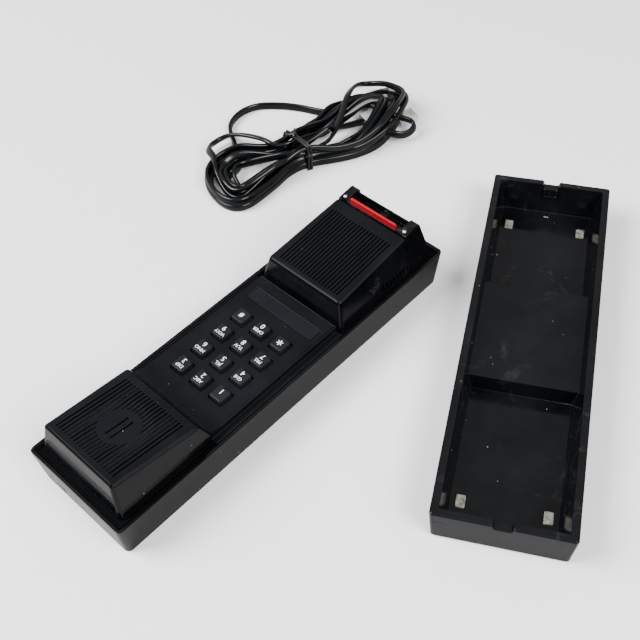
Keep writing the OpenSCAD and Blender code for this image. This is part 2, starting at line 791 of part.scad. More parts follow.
// The open space between the two ears, above the channel's floor
module channel_outline() {
    polygon([[channel_y0, mouth_top_z1 + 5], [channel_y0, mouth_top_z1 - 0.4], [channel_y0 + 1.2, mouth_top_z1 - 1.5],
             [channel_y1, channel_z + 0.5], [channel_y1 + 0.4, channel_z], [channel_wall_y, channel_z],
             [channel_wall_y, channel_wall_z], [y_cap_end + 1, channel_wall_z], [y_cap_end + 1, mouth_top_z1 + 5]]);
}

module channel_under() {
    t = cover_wall;
    polygon([[channel_y0 - 0.5, mouth_top_z1 - t], [channel_y0 + 0.6, mouth_top_z1 - 1.3 - t],
             [channel_y1 - 0.6, channel_z - t], [channel_wall_y, channel_z - t],
             [y_cap_end, channel_z - t], [y_cap_end, mouth_top_z1 + 5], [channel_y0 - 0.5, mouth_top_z1 + 5]]);
}

module end_cap() {
    z0 = shell_h - 2 * flange_t - 1;
    top = mouth_top_z1 + 2;
    y0 = y_cap_seam + half_gap;
    color("#111215") at_handset() difference() {
        union() {
            difference() {
                union() {
                    flange(y0, y_cap_end);
                    intersection() {
                        side_view(body_w / 2) cap_outline(0);
                        leaning(mouth_hw, z0, top, mouth_draft, y0, y_cap_end);
                    }
                }
                // Inside, which keeps its wall under the channel
                difference() {
                    intersection() {
                        side_view(body_w / 2) cap_outline(cover_wall);
                        leaning(mouth_hw - cover_wall, z0, top, mouth_draft, y0 - 1, y_cap_end);
                    }
                    side_view(channel_hw + cover_wall) channel_under();
                }
                side_view(channel_hw) channel_outline();
            }
            // Shelf that guides the hook bar's post
            intersection() {
                span([-8, y0, shelf_z], [8, y_cap_end - 8, shelf_z + shelf_t]);
                side_view(body_w / 2) cap_outline(0);
            }
            span([-8, y_cap_end - 13, shelf_z - 6], [8, y_cap_end - 8.4, shelf_z + shelf_t]);
        }
        translate([0, post_y, 0]) cylinder(d = post_d + 2 * post_gap, h = shelf_z + shelf_t + 1);
        span([-hook_w / 2 - key_gap, bar_y0 - key_gap, carriage_top_z], [hook_w / 2 + key_gap, bar_y0 + hook_t + key_gap, top]);
        for (sx = [-1, 1]) translate([sx * (slot_x0 + slot_x1) / 2, 0, 0])
            span([-(slot_x1 - slot_x0) / 2, channel_wall_y - slot_l, channel_z - 2 * cover_wall],
                 [(slot_x1 - slot_x0) / 2, channel_wall_y - 0.3, channel_z + 1]);
        for (sx = [-1, 1]) translate([sx * stud_x, stud_y, mouth_top_z1 - 6]) cylinder(d = stud_d, h = 10);
    }
}

module stud(sx) {
    color("#e8e9ea") at_handset() translate([sx * stud_x, stud_y, mouth_top_z1 - 2]) {
        cylinder(d = stud_d, h = 2.3);
        translate([0, 0, 2.3]) intersection() {
            sphere(d = stud_d);
            cylinder(d = 2 * stud_d, h = stud_d);
        }
    }
}

module stud_left() { stud(-1); }
module stud_right() { stud(1); }

// ---- Hook switch ----

module hook_bar() {
    bar_y1 = bar_y0 + hook_t;
    hw = hook_w / 2;
    color("#e3262e") at_handset() {
        // Blade, with its top corners cut off
        translate([0, bar_y1, 0]) rotate([90, 0, 0]) linear_extrude(hook_t)
            polygon([[-hw, carriage_z], [hw, carriage_z], [hw, hook_top_z - 0.8], [hw - 0.8, hook_top_z],
                     [0.8 - hw, hook_top_z], [-hw, hook_top_z - 0.8]]);
        span([-hw, bar_y0, carriage_z], [hw, bar_y0 + carriage_l, carriage_top_z]);
        translate([0, post_y, post_bottom_z]) cylinder(d = post_d, h = carriage_z - post_bottom_z + 0.5);
    }
}

function coil_point(i, n, r, z0, z1, turns) =
    [r * cos(360 * turns * i / n), r * sin(360 * turns * i / n), z0 + (z1 - z0) * i / n];

function unit(v) = v / norm(v);

// Rings of points round a line through pts, each a flattened circle w wide and t thick
function ring(p, dir, w, t, sides) =
    let (side = unit(cross(dir, [0, 0, 1])), up = cross(side, dir))
    [for (k = [0:sides - 1]) p + side * (w / 2) * cos(360 * (k + 0.5) / sides) + up * (t / 2) * sin(360 * (k + 0.5) / sides)];

module tube(pts, w, t, sides) {
    n = len(pts);
    rings = [for (i = [0:n - 1])
        each ring(pts[i], unit(pts[min(i + 1, n - 1)] - pts[max(i - 1, 0)]), w, t, sides)];
    walls = [for (i = [0:n - 2], k = [0:sides - 1])
        let (a = i * sides + k, b = i * sides + (k + 1) % sides) each [[a, b, b + sides], [a, b + sides, a + sides]]];
    polyhedron(rings, concat(walls, [[for (k = [sides - 1:-1:0]) k]], [[for (k = [0:sides - 1]) (n - 1) * sides + k]]));
}

module hook_spring() {
    z0 = shelf_z + shelf_t + spring_wire / 2;
    z1 = carriage_z - spring_wire / 2;
    n = 12 * spring_turns;
    color("#c9cccf") at_handset() translate([0, post_y, 0])
        tube([for (i = [0:n]) coil_point(i, n, spring_r, z0 + 0.02, z1 - 0.02, spring_turns)], spring_wire, spring_wire, 6);
}

module hook_switch() {
    color("#30343c") at_handset() {
        translate([0, post_y, main_top]) {
            span([-switch_w / 2, -switch_l / 2, 0], [switch_w / 2, switch_l / 2, switch_h]);
            cylinder(d = plunger_d, h = plunger_top - main_top);
        }
    }
}

// ---- Inside the handset ----

module receiver_capsule() {
    color("#55595e") at_handset() on_ear_top() translate([0, dish_shift, -top_wall - gasket_t - capsule_h]) difference() {
        cylinder(d = capsule_d, h = capsule_h);
        translate([0, 0, capsule_h - 1]) cylinder(d = 4, h = 2);
    }
}

module receiver_gasket() {
    color("#3b3b3b") at_handset() on_ear_top() translate([0, dish_shift, -top_wall - gasket_t]) difference() {
        cylinder(d = gasket_d, h = gasket_t);
        translate([0, 0, -1]) cylinder(d = gasket_hole_d, h = gasket_t + 2);
    }
}

module microphone() {
    color("#a9acb0") at_handset() translate([0, mic_y, main_top + boot_floor]) cylinder(d = mic_d, h = mic_h);
}

module microphone_boot() {
    color("#26282b") at_handset() translate([0, mic_y, main_top]) difference() {
        cylinder(d = boot_d, h = boot_floor + mic_h - 0.5);
        translate([0, 0, boot_floor]) cylinder(d = mic_d + 2 * screw_gap, h = mic_h);
    }
}

module ringer() {
    color("#1e2023") at_handset() translate([0, ringer_y, main_top]) difference() {
        cylinder(d = ringer_d, h = ringer_h);
        translate([0, 0, 1]) cylinder(d = 3, h = ringer_h);
    }
}

module keypad_mat() {
    color("#6e7278") at_handset() {
        span([-mat_hw, keypad_y - mat_hl, board_top], [mat_hw, keypad_y + mat_hl, mat_top]);
        for (row = [0:3], col = [0:2]) at_key(row, col) translate([0, 0, mat_top - 0.1])
            cylinder(d1 = 8, d2 = 6, h = dome_h + 0.1);
    }
}

module keypad_board() {
    hw = panel_post_x + panel_post_d / 2;
    color("#2f6b3f") at_handset() span([-hw, keypad_y - mat_hl - 1, board_z], [hw, keypad_y + mat_hl + 1, board_top]);
}

module main_board() {
    color("#2f6b3f") at_handset() difference() {
        span([-main_hw, main_y0, main_z], [main_hw, main_y1, main_top]);
        for (sx = [-1, 1]) translate([sx * boss_x, boss_ys[1], main_z - 1]) cylinder(d = boss_d + 1, h = 2 * main_t);
    }
}

module line_jack() {
    color("#1a1b1e") at_handset() difference() {
        span([-jack_w / 2, jack_y0, floor_t], [jack_w / 2, jack_y1, floor_t + jack_h]);
        jack_hole(jack_y1 - jack_hole_l, jack_y1 + 1);
    }
}

module jack_contacts() {
    color("#d6b25a") at_handset() for (i = [-1.5:1:1.5])
        span([i * 1.27 - 0.2, jack_y1 - jack_hole_l, jack_hole_z + jack_hole_h - 0.5],
             [i * 1.27 + 0.2, jack_y1 - 3, jack_hole_z + jack_hole_h]);
}

module shell_screws() {
    color("#c3c6c9") at_handset() at_bosses() translate([0, 0, head_gap]) screw(screw_l);
}

// ---- Keys ----

module key_cap() {
    lip = key_w + 2 * lip_w;
    translate([0, 0, lip_bottom + lip_t / 2]) cube([lip, lip, lip_t], center = true);
    hull() {
        translate([0, 0, lip_bottom + eps]) linear_extrude(eps) rounded(key_w, key_w, 1.2, $fn = hull_fn);
        translate([0, 0, key_top_z - 0.5]) linear_extrude(eps) rounded(key_w - 0.4, key_w - 0.4, 1.2, $fn = hull_fn);
        translate([0, 0, key_top_z - eps]) linear_extrude(eps) rounded(key_w - 1.4, key_w - 1.4, 1.2, $fn = hull_fn);
    }
}

module key(row, col) {
    color("#3a3d42") at_handset() at_key(row, col) key_cap();
}

module key_1() { key(0, 0); }
module key_2() { key(0, 1); }
module key_3() { key(0, 2); }
module key_4() { key(1, 0); }
module key_5() { key(1, 1); }
module key_6() { key(1, 2); }
module key_7() { key(2, 0); }
module key_8() { key(2, 1); }
module key_9() { key(2, 2); }
module key_star() { key(3, 0); }
module key_0() { key(3, 1); }
module key_hash() { key(3, 2); }

// ---- Line cord ----

module lobe(centre, r) {
    hull() {
        translate(centre) circle(r = r, $fn = hull_fn);
        translate(waist) circle(r = lobe_neck_r, $fn = hull_fn);
    }
}

module cord_hank() {
    color("#0f1012") at_tray() difference() {
        linear_extrude(hank_h) {
            lobe(near_lobe, near_lobe_r);
            lobe(far_lobe, far_lobe_r);
            translate(waist) rotate(hank_turn) square([waist_l, waist_w], center = true);
        }
        at_waist() span([-tie_w / 2, -waist_w, -1], [tie_w / 2, waist_w, tie_t]);
        plug_pocket(plug_a_at, plug_a_turn);
        plug_pocket(plug_b_at, plug_b_turn);
    }
}

module at_waist() {
    translate([waist[0], waist[1], 0]) rotate([0, 0, hank_turn]) children();
}

// Room for a plug under the hank: the cord's end meets the plug's back
module plug_pocket(at, turn) {
    translate([at[0], at[1], 0]) rotate([0, 0, turn])
        span([0, -plug_w / 2 - plug_pocket_gap, -1], [2 * plug_l, plug_w / 2 + plug_pocket_gap, plug_t + 2 * plug_pocket_gap]);
}

module cord_long_loop() {
    color("#0f1012") at_tray() tube(LONG_LOOP, cord_t, cord_w, 8);
}

module cord_short_loop() {
    color("#0f1012") at_tray() tube(SHORT_LOOP, cord_t, cord_w, 8);
}

module cord_tie() {
    color("#0b0b0c") at_tray() at_waist() difference() {
        span([-tie_w / 2, -waist_w / 2 - tie_t, 0], [tie_w / 2, waist_w / 2 + tie_t, hank_h + tie_t]);
        span([-tie_w, -waist_w / 2, tie_t], [tie_w, waist_w / 2, hank_h]);
    }
}

// A modular plug with its nose along X and the cord's end at its origin
module plug() {
    difference() {
        span([0, -plug_w / 2, 0], [plug_l, plug_w / 2, plug_t]);
        for (i = [-1.5:1:1.5]) translate([plug_l - 6, i * 1.27 - 0.25, plug_t - 1.6]) cube([7, 0.5, 3]);
    }
}

module plug_a() {
    color("#e9ecec") at_tray() translate([plug_a_at[0], plug_a_at[1], 0]) rotate([0, 0, plug_a_turn]) plug();
}

module plug_b() {
    color("#e9ecec") at_tray() translate([plug_b_at[0], plug_b_at[1], 0]) rotate([0, 0, plug_b_turn]) plug();
}

base_tray();
wall_hook();
foot_front_left();
foot_front_right();
foot_rear_left();
foot_rear_right();
ballast_weight();
ballast_cover();
cover_screws();
back_shell();
ear_cover();
keypad_panel();
label_strip();
mouth_cover();
end_cap();
stud_left();
stud_right();
hook_bar();
hook_spring();
hook_switch();
receiver_capsule();
receiver_gasket();
microphone();
microphone_boot();
ringer();
keypad_mat();
keypad_board();
main_board();
line_jack();
jack_contacts();
shell_screws();
key_1();
key_2();
key_3();
key_4();
key_5();
key_6();
key_7();
key_8();
key_9();
key_star();
key_0();
key_hash();
cord_hank();
cord_long_loop();
cord_short_loop();
cord_tie();
plug_a();
plug_b();
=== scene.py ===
import math
import bpy
from mathutils import Matrix, Vector


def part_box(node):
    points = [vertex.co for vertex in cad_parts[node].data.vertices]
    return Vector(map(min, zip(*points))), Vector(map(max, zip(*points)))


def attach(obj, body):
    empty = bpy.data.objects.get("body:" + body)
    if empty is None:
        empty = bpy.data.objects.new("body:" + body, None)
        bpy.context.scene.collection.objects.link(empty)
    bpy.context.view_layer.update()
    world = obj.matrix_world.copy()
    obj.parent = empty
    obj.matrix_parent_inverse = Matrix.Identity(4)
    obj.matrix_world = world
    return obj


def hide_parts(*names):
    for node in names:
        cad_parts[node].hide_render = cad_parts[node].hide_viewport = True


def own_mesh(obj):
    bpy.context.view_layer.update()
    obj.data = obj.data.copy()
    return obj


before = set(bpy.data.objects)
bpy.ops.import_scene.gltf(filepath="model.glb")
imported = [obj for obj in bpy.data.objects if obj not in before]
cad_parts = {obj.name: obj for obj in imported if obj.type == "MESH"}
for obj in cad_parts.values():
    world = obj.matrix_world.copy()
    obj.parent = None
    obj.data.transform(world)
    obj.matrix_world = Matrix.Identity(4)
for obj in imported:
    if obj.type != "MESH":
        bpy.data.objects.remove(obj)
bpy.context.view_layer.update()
mm = 0.001

# the tray's middle and the handset's middle on the table, and the handset's turn
layout = {"tray": (93.656, 20.074), "handset": (-43.044, -19.326), "turn": -29.0}
trayMatrix = Matrix.Translation((layout["tray"][0] * mm, layout["tray"][1] * mm, 0))
handMatrix = (Matrix.Translation((layout["handset"][0] * mm, layout["handset"][1] * mm, 0))
              @ Matrix.Rotation(math.radians(layout["turn"]), 4, "Z"))
handInverse = handMatrix.inverted()


def trayPlace(x, y, z):
    return trayMatrix @ Vector((x * mm, y * mm, z * mm))


def handPlace(x, y, z):
    return handMatrix @ Vector((x * mm, y * mm, z * mm))


def deselectAll():
    if bpy.context.mode != "OBJECT":
        bpy.ops.object.mode_set(mode="OBJECT")
    bpy.ops.object.select_all(action="DESELECT")


def makeActive(piece):
    deselectAll()
    piece.select_set(True)
    bpy.context.view_layer.objects.active = piece


# place in mm in the tray's frame, pitch and roll in degrees
cameraView = {"lens": 54.58, "place": (-14.52, -324.75, 406.4), "forward": (-0.2854, 0.9584),
              "pitch": 50.06, "roll": -3.43}


def makeCamera(view):
    data = bpy.data.cameras.new("camera")
    data.lens = view["lens"]
    data.sensor_width = 36
    data.clip_start = 0.01
    camera = bpy.data.objects.new("camera", data)
    bpy.context.scene.collection.objects.link(camera)
    pitch, roll = math.radians(view["pitch"]), math.radians(view["roll"])
    flat = Vector((view["forward"][0], view["forward"][1], 0)).normalized()
    forward = flat * math.cos(pitch) + Vector((0, 0, -math.sin(pitch)))
    right = forward.cross(Vector((0, 0, 1))).normalized()
    up = right.cross(forward)
    tiltedRight = right * math.cos(roll) + up * math.sin(roll)
    tiltedUp = up * math.cos(roll) - right * math.sin(roll)
    turn = Matrix((tiltedRight, tiltedUp, -forward)).transposed().to_4x4()
    camera.matrix_world = Matrix.Translation(trayPlace(*view["place"])) @ turn
    bpy.context.scene.camera = camera


makeCamera(cameraView)
# the floor's reflected colour is painted shade: gloss sees it darker than the camera does
floorLook = {"size": 6.0, "drop": 0.0002, "colour": (0.94, 0.94, 0.94, 1),
             "reflectedShade": (0.3, 0.3, 0.3, 1), "roughness": 0.6}
lightLook = {"world": 0.6,  # each box: name, place and size in metres, watts
             "boxes": [("leftBox", (-1.1, -0.35, 1.2), 1.0, 60), ("rightBox", (1.0, -0.6, 1.2), 0.8, 40)]}


def makeFloor(look):
    deselectAll()
    bpy.ops.mesh.primitive_plane_add(size=look["size"], location=(0, 0, -look["drop"]))
    floor = bpy.context.object
    floor.name = "floor"
    paint = bpy.data.materials.new("paleFloor")
    paint.use_nodes = True
    shader = paint.node_tree.nodes["Principled BSDF"]
    tree = paint.node_tree
    rays = tree.nodes.new("ShaderNodeLightPath")  # pale to see; painted shade: darker where gloss reflects it, standing in for the shaded floor beside the object
    mix = tree.nodes.new("ShaderNodeMix")
    mix.data_type = "RGBA"
    mix.inputs[6].default_value = look["colour"]
    mix.inputs[7].default_value = look["reflectedShade"]
    tree.links.new(rays.outputs["Is Glossy Ray"], mix.inputs["Factor"])
    tree.links.new(mix.outputs[2], shader.inputs["Base Color"])
    shader.inputs["Roughness"].default_value = look["roughness"]
    floor.data.materials.append(paint)


def makeLights(look):
    world = bpy.data.worlds.new("studio")
    bpy.context.scene.world = world
    world.use_nodes = True
    world.node_tree.nodes["Background"].inputs["Color"].default_value = (1, 1, 1, 1)
    world.node_tree.nodes["Background"].inputs["Strength"].default_value = look["world"]
    for name, place, size, watts in look["boxes"]:
        data = bpy.data.lights.new(name, "AREA")
        data.size = size
        data.energy = watts
        lamp = bpy.data.objects.new(name, data)
        lamp.location = place
        lamp.rotation_euler = (-Vector(place)).to_track_quat("-Z", "Y").to_euler()
        bpy.context.scene.collection.objects.link(lamp)


makeFloor(floorLook)
makeLights(lightLook)
print("stage ready")


def addNode(tree, kind, inputs=None, **settings):
    node = tree.nodes.new(kind)
    for key, value in settings.items():
        setattr(node, key, value)
    for key, value in (inputs or {}).items():
        node.inputs[key].default_value = value
    return node


def mixColours(tree, factor, first, second):
    mix = addNode(tree, "ShaderNodeMix", data_type="RGBA")
    for socket, value in ((mix.inputs["Factor"], factor), (mix.inputs[6], first), (mix.inputs[7], second)):
        if isinstance(value, bpy.types.NodeSocket):
            tree.links.new(value, socket)
        else:
            socket.default_value = value
    return mix.outputs[2]


def rangeOf(tree, source, low, high, toLow, toHigh):
    ends = {"From Min": low, "From Max": high, "To Min": toLow, "To Max": toHigh}
    step = addNode(tree, "ShaderNodeMapRange", ends)
    tree.links.new(source, step.inputs["Value"])
    return step.outputs["Result"]


def noiseOf(tree, place, scale, **more):
    noise = addNode(tree, "ShaderNodeTexNoise", {"Scale": scale, **more})
    tree.links.new(place, noise.inputs["Vector"])
    return noise.outputs["Fac"]


def combine(tree, operation, first, second):
    node = addNode(tree, "ShaderNodeMath", operation=operation, use_clamp=operation == "ADD")
    tree.links.new(first, node.inputs[0])
    tree.links.new(second, node.inputs[1])
    return node.outputs[0]


# marks of use, alike on every finish that has them
wear = {"dustTint": (0.42, 0.42, 0.4, 1), "dustScale": 170, "dustSpot": (0.02, 0.075), "dustDrift": 60,
        "smudgeTint": (0.035, 0.034, 0.032, 1), "smudgeScale": 95, "smudgeZones": 22,
        "scratchTurn": (0.3, 0.2, 0.9), "scratchScale": (30, 1400, 300)}


def dustMask(tree, place, look):
    cells = addNode(tree, "ShaderNodeTexVoronoi", {"Scale": look.get("dustScale", wear["dustScale"])})
    tree.links.new(place, cells.inputs["Vector"])
    spots = rangeOf(tree, cells.outputs["Distance"], *wear["dustSpot"], 1, 0)
    drift = noiseOf(tree, place, wear["dustDrift"], Detail=3)
    return combine(tree, "MULTIPLY", spots, rangeOf(tree, drift, 0.52, 0.62, 0, look["dust"]))


def smudgeMask(tree, place, look):
    marks = noiseOf(tree, place, wear["smudgeScale"], Detail=5, Roughness=0.65, Distortion=0.6)
    zones = noiseOf(tree, place, wear["smudgeZones"], Detail=1)
    strong = rangeOf(tree, marks, 0.55, 0.68, 0, look["smudge"])
    return combine(tree, "MULTIPLY", strong, rangeOf(tree, zones, 0.5, 0.6, 0, 1))


def scratchMask(tree, place, look):
    drawn = {"Rotation": wear["scratchTurn"], "Scale": wear["scratchScale"]}
    stretch = addNode(tree, "ShaderNodeMapping", drawn)
    tree.links.new(place, stretch.inputs["Vector"])
    lines = noiseOf(tree, stretch.outputs["Vector"], 1, Detail=3, Roughness=0.7)
    return rangeOf(tree, lines, 0.66, 0.72, 0, look["scratch"])


def makeFinish(name, look):
    material = bpy.data.materials.new(name)
    material.use_nodes = True
    tree = material.node_tree
    shader = tree.nodes["Principled BSDF"]
    place = addNode(tree, "ShaderNodeTexCoord").outputs["Object"]
    for key, value in look.get("shader", {}).items():
        shader.inputs[key].default_value = value
    # handled patches, a few centimetres across
    patches = noiseOf(tree, place, look.get("patchScale", 35), Detail=4, Roughness=0.6)
    dark, light = (*look["dark"], 1), (*look["light"], 1)
    colour = mixColours(tree, rangeOf(tree, patches, 0.35, 0.65, 0, 1), dark, light)
    rough = rangeOf(tree, patches, 0.38, 0.66, *look["rough"])
    # fine grain of the moulding
    grain = noiseOf(tree, place, look.get("grainScale", 1500), Detail=2)
    if look.get("speckle"):
        fleck = rangeOf(tree, grain, 0.56, 0.72, 0, look["speckle"])
        colour = mixColours(tree, fleck, colour, (*look["fleck"], 1))
    if look.get("dust"):
        mask = dustMask(tree, place, look)
        colour = mixColours(tree, mask, colour, wear["dustTint"])
        rough = combine(tree, "ADD", rough, mask)
    if look.get("smudge"):
        mask = smudgeMask(tree, place, look)
        colour = mixColours(tree, mask, colour, wear["smudgeTint"])
        rough = combine(tree, "ADD", rough, mask)
    if look.get("scratch"):
        rough = combine(tree, "ADD", rough, scratchMask(tree, place, look))
    depth = {"Strength": look.get("bump", 0.1), "Distance": 0.00005}
    bump = addNode(tree, "ShaderNodeBump", depth)
    tree.links.new(grain, bump.inputs["Height"])
    tree.links.new(bump.outputs["Normal"], shader.inputs["Normal"])
    tree.links.new(colour, shader.inputs["Base Color"])
    tree.links.new(rough, shader.inputs["Roughness"])
    return material


blackShader = {"IOR": 1.34}
mattShader = {"IOR": 1.22}
# each finish: colour of its dark and light patches, range of roughness, then grain, flecks and wear
finishes = {
    "casingGloss": {
        "dark": (0.0012, 0.0013, 0.0018), "light": (0.0032, 0.0034, 0.0042), "rough": (0.09, 0.22),
        "bump": 0.06, "grainScale": 500, "dust": 0.8, "scratch": 0.25, "smudge": 0.35,
        "shader": blackShader},
    "topMatt": {
        "dark": (0.0016, 0.0021, 0.0031), "light": (0.003, 0.0037, 0.0052), "rough": (0.4, 0.52),
        "bump": 0.25, "grainScale": 2200, "speckle": 0.1, "fleck": (0.02, 0.023, 0.028), "dust": 0.3,
        "shader": mattShader},
    # painted shade: a darker, duller black for recesses, the trough and the rib grooves
    "paintedGrooveShade": {
        "dark": (0.0005, 0.0006, 0.0009), "light": (0.001, 0.0012, 0.0017), "rough": (0.5, 0.62),
        "bump": 0.2, "grainScale": 2200, "dust": 0.15, "shader": {"IOR": 1.12}},
    "trayGloss": {
        "dark": (0.0016, 0.0018, 0.0025), "light": (0.0038, 0.0042, 0.0054), "rough": (0.1, 0.24),
        "bump": 0.06, "grainScale": 500, "dust": 0.9, "scratch": 0.3, "smudge": 0.25,
        "shader": blackShader},
    "panelGrain": {
        "dark": (0.0015, 0.0021, 0.0032), "light": (0.0028, 0.0036, 0.005), "rough": (0.45, 0.58),
        "bump": 0.4, "grainScale": 2600, "speckle": 0.16, "fleck": (0.016, 0.019, 0.023), "dust": 0.3,
        "shader": mattShader},
    "labelGrey": {
        "dark": (0.0048, 0.0057, 0.0072), "light": (0.0065, 0.0076, 0.0092), "rough": (0.42, 0.55),
        "bump": 0.3, "grainScale": 2600, "speckle": 0.2, "fleck": (0.024, 0.027, 0.031),
        "shader": mattShader},
    "keyGrey": {
        "dark": (0.0058, 0.0067, 0.0083), "light": (0.0088, 0.01, 0.012), "rough": (0.4, 0.52),
        "bump": 0.3, "grainScale": 2400, "speckle": 0.15, "fleck": (0.04, 0.043, 0.048),
        "shader": mattShader},
    "keyPrint": {
        "dark": (0.78, 0.79, 0.78), "light": (0.88, 0.89, 0.88), "rough": (0.5, 0.6), "bump": 0.2},
    "hookRed": {
        "dark": (0.22, 0.0008, 0.006), "light": (0.29, 0.0015, 0.009), "rough": (0.3, 0.42), "bump": 0.15,
        "grainScale": 900, "scratch": 0.2,
        "shader": {"Subsurface Weight": 0.04, "Subsurface Scale": 0.002, "IOR": 1.34}},
    "studSteel": {
        "dark": (0.62, 0.62, 0.61), "light": (0.75, 0.75, 0.74), "rough": (0.12, 0.25), "bump": 0.1,
        "grainScale": 3000, "shader": {"Metallic": 1.0}},
    "footSoft": {
        "dark": (0.11, 0.107, 0.085), "light": (0.3, 0.295, 0.25), "rough": (0.25, 0.5),
        "patchScale": 420, "bump": 0.5, "grainScale": 700, "dust": 0.5, "dustScale": 700,
        "shader": {"Subsurface Weight": 0.25, "Subsurface Scale": 0.003}},
    "cordVinyl": {
        "dark": (0.0014, 0.0016, 0.0021), "light": (0.0034, 0.0037, 0.0046), "rough": (0.12, 0.22),
        "patchScale": 60, "bump": 0.12, "grainScale": 700, "scratch": 0.2, "dust": 0.3,
        "shader": {"IOR": 1.36}},
    "tieBlack": {
        "dark": (0.003, 0.003, 0.0035), "light": (0.007, 0.007, 0.008), "rough": (0.3, 0.45), "bump": 0.25},
    "plugClear": {
        "dark": (0.86, 0.88, 0.86), "light": (0.95, 0.96, 0.95), "rough": (0.06, 0.16), "patchScale": 200,
        "bump": 0.08, "grainScale": 800, "shader": {"Transmission Weight": 0.6, "IOR": 1.49}},
    "contactGold": {
        "dark": (0.62, 0.43, 0.16), "light": (0.76, 0.56, 0.24), "rough": (0.2, 0.35), "bump": 0.1,
        "shader": {"Metallic": 1.0}},
    "screwZinc": {
        "dark": (0.42, 0.42, 0.41), "light": (0.56, 0.56, 0.54), "rough": (0.28, 0.5), "patchScale": 400,
        "bump": 0.2, "grainScale": 2000, "shader": {"Metallic": 1.0}},
    "ironPlain": {
        "dark": (0.14, 0.135, 0.13), "light": (0.24, 0.235, 0.23), "rough": (0.45, 0.7),
        "patchScale": 120, "bump": 0.5, "grainScale": 600, "shader": {"Metallic": 0.9}},
    "partBlack": {
        "dark": (0.012, 0.012, 0.013), "light": (0.02, 0.02, 0.022), "rough": (0.4, 0.55), "bump": 0.2},
    "canAluminium": {
        "dark": (0.45, 0.455, 0.46), "light": (0.58, 0.585, 0.59), "rough": (0.3, 0.45), "bump": 0.2,
        "grainScale": 1800, "shader": {"Metallic": 1.0}},
    "gasketBlack": {
        "dark": (0.014, 0.014, 0.014), "light": (0.024, 0.024, 0.024), "rough": (0.7, 0.85), "bump": 0.4},
    "matGrey": {
        "dark": (0.22, 0.23, 0.245), "light": (0.3, 0.31, 0.325), "rough": (0.55, 0.7), "bump": 0.3},
    "boardGreen": {
        "dark": (0.014, 0.09, 0.035), "light": (0.028, 0.14, 0.055), "rough": (0.3, 0.45),
        "patchScale": 260, "bump": 0.3, "grainScale": 900},
}
materials = {name: makeFinish(name, look) for name, look in finishes.items()}
print("finishes ready:", len(materials))

# u runs along the hank from the tie towards its far end, v across it to the left, in mm
hank = {
    "waist": (-158, 129), "turn": 49, "width": 4.8, "length": 2.55, "step": 2.0,
    "slope": 0.3, "layer": 4.2, "crossing": 2.2, "cell": 4, "plugHigh": 3.3, "climb": 0.45,
    "near": [(-14, -11.5), (-25, -15.5), (-37, -18.5), (-49, -21), (-57, -19), (-61.5, -12), (-62.5, -2),
             (-61, 9), (-56, 18.5), (-47, 24), (-37, 24), (-27, 20.5), (-15, 15)],
    "far": [(11, 14), (22, 17), (33, 19.8), (45, 22.5), (56, 23.5), (67, 22), (77, 17.5), (84, 10),
            (86, 2), (82.5, -6), (76, -13), (66.5, -20), (54, -24.5), (41, -25.5), (27, -23), (14, -17.5)],
    "stub": [(51, 18), (58, 12), (62, 4), (63, -5), (63.5, -13), (66.5, -20), (71.5, -22.8), (74.3, -26),
             (72, -29.4), (65.5, -29.8), (57, -27.6)],
    "apex": [(-30, 8), (-15, -4), (-2, -11.5), (10, -10), (21, -5.5), (32, 1), (42, 8.5), (52, 16.8),
             (62, 25), (71, 28.5), (78.4, 23.4), (82.2, 14), (83, 4), (81, -6)],
    "edge": 11.6,
    # each turn: inset in the near and in the far lobe, place in the tie left and right of its middle
    "turns": [(0, 2, 11.6, 11.6), (2.7, 4.2, 9.0, 9.0), (12, 12.5, 6.4, 6.4), (0.6, 0.4, 10.3, 10.3),
              (7.5, 8, 7.7, 7.7), (17, 17, 3.8, 3.8), (9.5, 2.5, 5, 11.4)],
    # the loops that lie beside the hank, and each plug's cord end and turn, in the tray's frame
    "longLoop": [(-190, 114, 2.4), (-193, 119, 2.4), (-196, 124, 2.4), (-199, 129, 2.4), (-202, 134, 2.4),
                 (-205, 139, 2.4), (-208, 144, 2.4), (-209, 150, 2.4), (-208, 156, 2.4), (-206, 162, 2.4),
                 (-202, 167, 2.4), (-197, 171, 2.4), (-191, 173, 2.4), (-185, 174, 2.4), (-179, 175, 2.4),
                 (-173, 175, 2.4), (-167, 175, 2.4), (-161, 174, 2.4), (-155, 173, 3), (-149, 172, 4)],
    "shortLoop": [(-205, 107, 2.4), (-209, 111, 2.4), (-213, 116, 2.4), (-214, 122, 3.2),
                  (-212, 128, 4.6), (-208, 132, 6.4), (-202, 134, 7.8), (-196, 134, 8.6),
                  (-190, 133, 9.2), (-184, 132, 9.6), (-178, 129, 10), (-172, 126, 10)],
    "plugA": (-102, 173, 42), "plugB": (-124, 168, 45), "plugSize": (12.3, 9.65, 6.6),
}
hankCos, hankSin = math.cos(math.radians(hank["turn"])), math.sin(math.radians(hank["turn"]))


def hankPoint(u, v, z=0.0):
    return (hank["waist"][0] + u * hankCos - v * hankSin, hank["waist"][1] + u * hankSin + v * hankCos, z)


def alongHank(x, y):
    dx, dy = x - hank["waist"][0], y - hank["waist"][1]
    return dx * hankCos + dy * hankSin, dy * hankCos - dx * hankSin


def insetLine(points, inset, first, last):
    # first and last are the insets at the waist, where the strands draw together
    moved = []
    for i, (u, v) in enumerate(points):
        a, b = points[max(i - 1, 0)], points[min(i + 1, len(points) - 1)]
        du, dv = b[0] - a[0], b[1] - a[1]
        size = math.hypot(du, dv)
        fromStart, fromEnd = min(1, i / 3), min(1, (len(points) - 1 - i) / 3)
        move = inset * fromStart * fromEnd + first * (1 - fromStart) + last * (1 - fromEnd)
        moved.append((u + move * dv / size, v - move * du / size))
    return moved


def turnRoute(nearInset, farInset, left, right):
    # one turn: out round the far lobe, back through the tie and round the near lobe
    edge = hank["edge"]
    far = insetLine(hank["far"], farInset, edge - left, edge - right)
    near = insetLine(hank["near"], nearInset, edge - right, edge - left)
    return far, [(0, -right)], near, [(0, left)]


